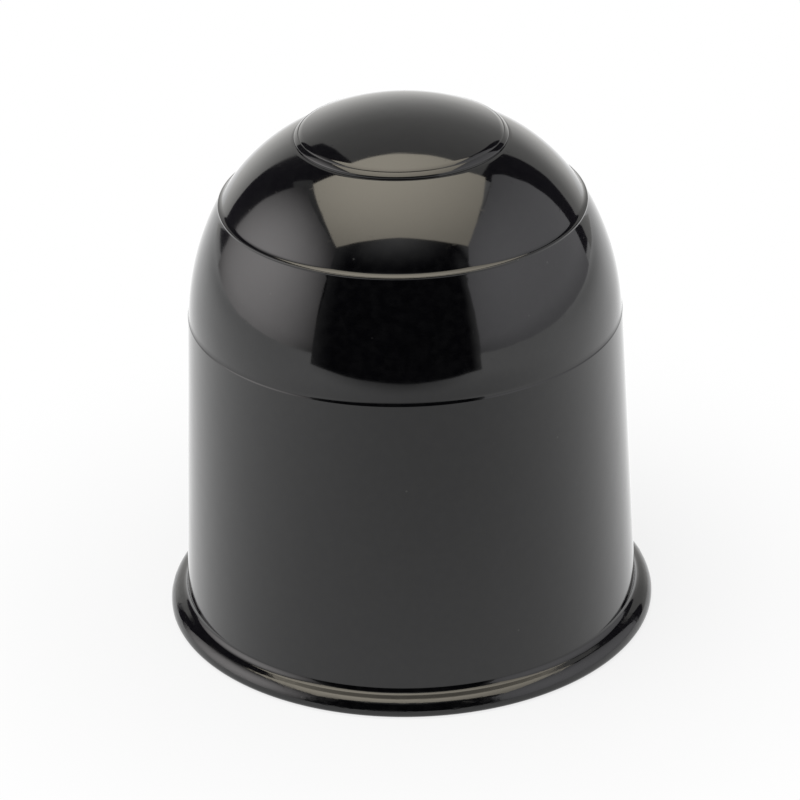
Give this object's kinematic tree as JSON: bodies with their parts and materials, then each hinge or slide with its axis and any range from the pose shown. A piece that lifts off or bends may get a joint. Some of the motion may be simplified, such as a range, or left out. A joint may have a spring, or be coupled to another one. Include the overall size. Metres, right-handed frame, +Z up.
{
  "type": "tow ball cover",
  "caption": "Domed cap with a drafted skirt, a flared rim, a stepped dome and a raised top disc, pushed over a tow ball to keep it clean.",
  "frame": {"origin": "centre of the mouth, in the plane that the rim stands on", "axes": "+Z up the axis of the cap, from the mouth to the crown; X and Y are any two directions across the mouth"},
  "size_m": [0.065, 0.065, 0.071],
  "materials": {
    "plastic": "gloss"
  },
  "bodies": {
    "root": {"cover": "plastic"}
  },
  "joints": []
}
